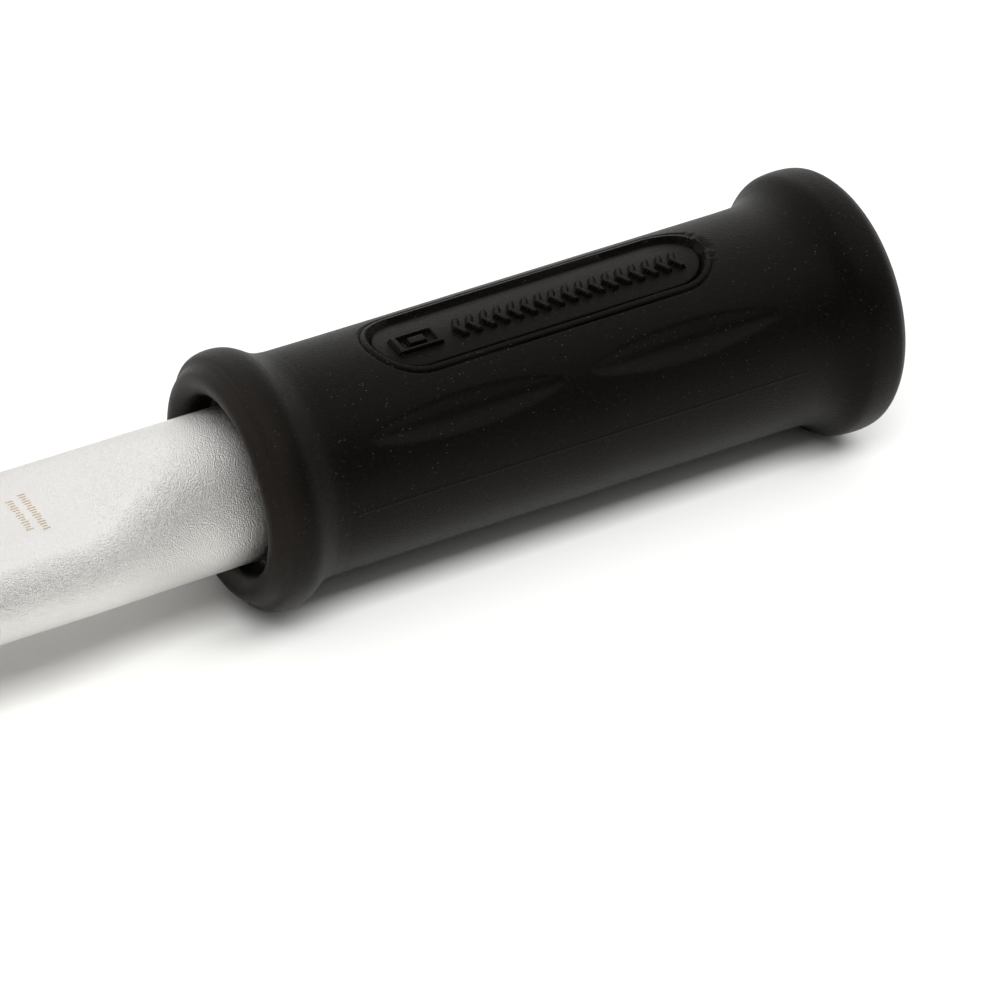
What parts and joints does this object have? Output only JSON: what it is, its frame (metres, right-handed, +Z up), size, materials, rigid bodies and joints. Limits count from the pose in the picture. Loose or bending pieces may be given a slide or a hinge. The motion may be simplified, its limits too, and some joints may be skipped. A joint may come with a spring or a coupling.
{
  "type": "torque wrench",
  "caption": "Click-type torque wrench with a square drive ratchet head, a flattened chrome tube with a scale window and a black rubber grip that sets the torque.",
  "frame": {"origin": "centre of the drive square's end face, on the surface that the tool lies on", "axes": "+X along the tool from the head to the grip, +Z up, away from the drive square, -Y towards the scale window"},
  "size_m": [0.3688, 0.0454, 0.0455],
  "materials": {
    "rubber": "matt black moulded rubber",
    "satin_chrome": "pearl satin chrome plate",
    "polished_steel": "ground steel",
    "dark_steel": "blackened steel",
    "spring_steel": "oiled spring steel",
    "aluminium": "turned aluminium",
    "brass": "turned brass",
    "black_plastic": "moulded black plastic",
    "nylon": "natural nylon",
    "scale_white": "white scale with dark marks",
    "clear_lens": "clear window"
  },
  "bodies": {
    "frame": {"tube": "satin_chrome", "pivot_pin": "polished_steel", "window_bezel": "black_plastic", "window_lens": "clear_lens", "main_spring": "spring_steel", "plunger_guide": "brass", "thrust_washer_front": "polished_steel", "thrust_ball_cage": "brass", "thrust_washer_rear": "polished_steel", "rear_bush": "brass", "set_screw_top": "dark_steel", "set_screw_bottom": "dark_steel"},
    "head": {"ratchet_head": "satin_chrome", "head_cover": "satin_chrome", "cover_screw_1": "dark_steel", "cover_screw_2": "dark_steel", "cover_screw_3": "dark_steel", "cover_screw_4": "dark_steel", "cover_screw_5": "dark_steel", "pawl_pin": "polished_steel"},
    "drive": {"drive_gear": "polished_steel", "button_spring": "spring_steel"},
    "button": {"release_button": "dark_steel"},
    "ball": {"detent_ball": "polished_steel"},
    "pawl_body": {"pawl": "polished_steel"},
    "lever": {"reversing_lever": "polished_steel", "lever_plunger": "polished_steel", "lever_spring": "spring_steel"},
    "toggle": {"toggle_block": "polished_steel"},
    "striker": {"plunger": "polished_steel"},
    "carriage": {"rear_spring_seat": "dark_steel", "push_tube": "polished_steel", "scale_carriage": "brass", "scale_plate": "scale_white"},
    "handle": {"rubber_grip": "rubber", "handle_core": "aluminium", "front_guide_bush": "nylon", "rear_guide_bush": "nylon", "dust_seal": "rubber", "handle_hub": "aluminium", "cross_pin": "polished_steel", "end_cap": "black_plastic", "cap_screw_left": "dark_steel", "cap_screw_right": "dark_steel", "screw_circlip": "spring_steel", "adjusting_screw": "polished_steel"},
    "knob": {"lock_knob": "black_plastic"},
    "lock": {"lock_pin": "polished_steel"}
  },
  "joints": [
    {"name": "head_click", "type": "hinge", "parent": "frame", "child": "head", "pos_m": [0.051, 0, 0.02275], "axis": [0, 0, 1], "range_deg": [0, 2.86], "stiffness_Nm_per_rad": 50},
    {"name": "plunger_slide", "type": "slide", "parent": "frame", "child": "striker", "axis": [-1, 0, 0], "range_m": [0, 0.00031]},
    {"name": "toggle_tilt", "type": "hinge", "parent": "striker", "child": "toggle", "pos_m": [0.103, 0, 0.02275], "axis": [0, 0, 1], "range_deg": [-16, 0]},
    {"name": "drive_spin", "type": "hinge", "parent": "head", "child": "drive", "pos_m": [0, 0, 0.02275], "axis": [0, 0, 1], "continuous": true},
    {"name": "button_press", "type": "slide", "parent": "drive", "child": "button", "axis": [0, 0, -1], "range_m": [0, 0.003], "stiffness_N_per_m": 300, "deforming": ["button_spring"]},
    {"name": "ball_retract", "type": "slide", "parent": "drive", "child": "ball", "axis": [1, 0, 0], "range_m": [0, 0.00061]},
    {"name": "lever_turn", "type": "hinge", "parent": "head", "child": "lever", "pos_m": [0.027, 0, 0.02275], "axis": [0, 0, 1], "range_deg": [-30, 30]},
    {"name": "pawl_rock", "type": "hinge", "parent": "head", "child": "pawl_body", "pos_m": [0.017, 0, 0.02275], "axis": [0, 0, 1], "range_deg": [-3.01, 3.01]},
    {"name": "handle_turn", "type": "hinge", "parent": "frame", "child": "handle", "pos_m": [0.24, 0, 0.02275], "axis": [-1, 0, 0], "range_deg": [0, 3600]},
    {"name": "carriage_slide", "type": "slide", "parent": "frame", "child": "carriage", "axis": [-1, 0, 0], "range_m": [0, 0.0126], "deforming": ["main_spring"]},
    {"name": "lock_turn", "type": "hinge", "parent": "handle", "child": "knob", "pos_m": [0.352, 0, 0.02275], "axis": [-1, 0, 0], "range_deg": [0, 90]},
    {"name": "lock_pin_slide", "type": "slide", "parent": "handle", "child": "lock", "axis": [-1, 0, 0], "range_m": [0, 0.00061]}
  ],
  "couplings": [
    {"joint": "plunger_slide", "follows": "head_click", "m_per_rad": 0.006},
    {"joint": "toggle_tilt", "follows": "head_click", "ratio": -5.55},
    {"joint": "ball_retract", "follows": "button_press", "ratio": 0.2},
    {"joint": "pawl_rock", "follows": "lever_turn", "ratio": 0.1},
    {"joint": "carriage_slide", "follows": "handle_turn", "m_per_rad": 0.00019894},
    {"joint": "lock_pin_slide", "follows": "lock_turn", "m_per_rad": 0.00038197}
  ]
}
